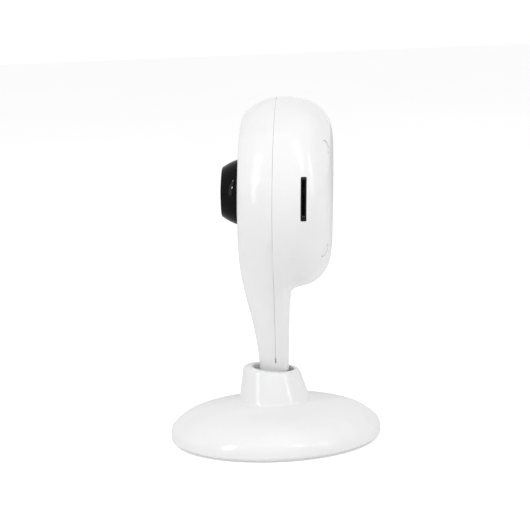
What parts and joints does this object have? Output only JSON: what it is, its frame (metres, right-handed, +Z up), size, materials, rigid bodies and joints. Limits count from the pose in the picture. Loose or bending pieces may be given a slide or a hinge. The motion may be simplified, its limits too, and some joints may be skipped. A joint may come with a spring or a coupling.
{
  "type": "security camera",
  "caption": "Small indoor security camera: a round white head with a protruding black lens on a tapering neck, held by a ball joint in the collar of a weighted round base.",
  "frame": {"origin": "centre of the round base where its pad meets the table", "axes": "+Z up, the lens looks along -Y, the memory card slot faces +X"},
  "size_m": [0.068, 0.068, 0.1103],
  "materials": {
    "white_shell": "gloss",
    "inner_white": "satin",
    "gloss_black": "gloss",
    "matte_black": "matte",
    "window_glass": "gloss",
    "lens_glass": "gloss",
    "filter_glass": "gloss",
    "board_green": "satin",
    "chip_black": "matte",
    "thermal_pad": "matte",
    "aluminium": "satin",
    "steel": "satin",
    "plated_steel": "gloss",
    "ballast_iron": "matte",
    "grey_rubber": "matte",
    "amber_film": "satin",
    "black_wire": "satin",
    "red_wire": "satin",
    "clear_pipe": "gloss",
    "led_body": "gloss",
    "beige_connector": "matte"
  },
  "bodies": {
    "base": {"base_shell": "white_shell", "base_plate": "inner_white", "ballast_ring": "ballast_iron", "base_pad": "grey_rubber", "base_screws": "steel", "cup_retainer": "inner_white", "cup_spring": "steel", "retainer_screws": "steel"},
    "cup": {"ball_cup": "inner_white"},
    "ball": {"neck_ball": "white_shell", "spigot_washer": "steel", "spigot_screw": "steel"},
    "head": {"front_shell": "white_shell", "rear_shell": "white_shell", "head_screws": "steel", "screw_plugs": "white_shell", "lens_bezel": "gloss_black", "lens_window": "window_glass", "lens_barrel": "matte_black", "lens_front_element": "lens_glass", "lens_rear_element": "lens_glass", "lens_holder": "matte_black", "infrared_filter": "filter_glass", "image_sensor": "chip_black", "main_board": "board_green", "board_screws": "steel", "processor": "chip_black", "thermal_pad": "thermal_pad", "heat_spreader": "aluminium", "memory_chip": "chip_black", "flash_chip": "chip_black", "power_coil": "chip_black", "wifi_module": "plated_steel", "wifi_antenna": "amber_film", "antenna_cable": "black_wire", "card_socket": "plated_steel", "card_slot_liner": "matte_black", "power_inlet": "plated_steel", "reset_switch": "matte_black", "speaker": "matte_black", "speaker_gasket": "grey_rubber", "speaker_wires": "red_wire", "microphone": "plated_steel", "microphone_boot": "grey_rubber", "microphone_wires": "red_wire", "status_led": "led_body", "light_pipe": "clear_pipe"},
    "button": {"reset_button": "white_shell"},
    "slider": {"card_slider": "beige_connector"}
  },
  "joints": [
    {"name": "pan", "type": "hinge", "parent": "base", "child": "cup", "pos_m": [0, 0, 0.0155], "axis": [0, 0, 1], "continuous": true},
    {"name": "tilt", "type": "hinge", "parent": "cup", "child": "ball", "pos_m": [0, 0, 0.0155], "axis": [1, 0, 0], "range_deg": [-8.5, 13.5]},
    {"name": "swivel", "type": "hinge", "parent": "ball", "child": "head", "pos_m": [0, 0, 0.0155], "axis": [0, 0.0436, 0.999], "continuous": true},
    {"name": "reset_press", "type": "slide", "parent": "head", "child": "button", "axis": [0, -0.999, 0.0436], "range_m": [0, 0.0004], "stiffness_N_per_m": 800, "springref_m": -0.0008},
    {"name": "card_push", "type": "slide", "parent": "head", "child": "slider", "axis": [-1, 0, 0], "range_m": [0, 0.0012], "stiffness_N_per_m": 300, "springref_m": -0.001}
  ]
}
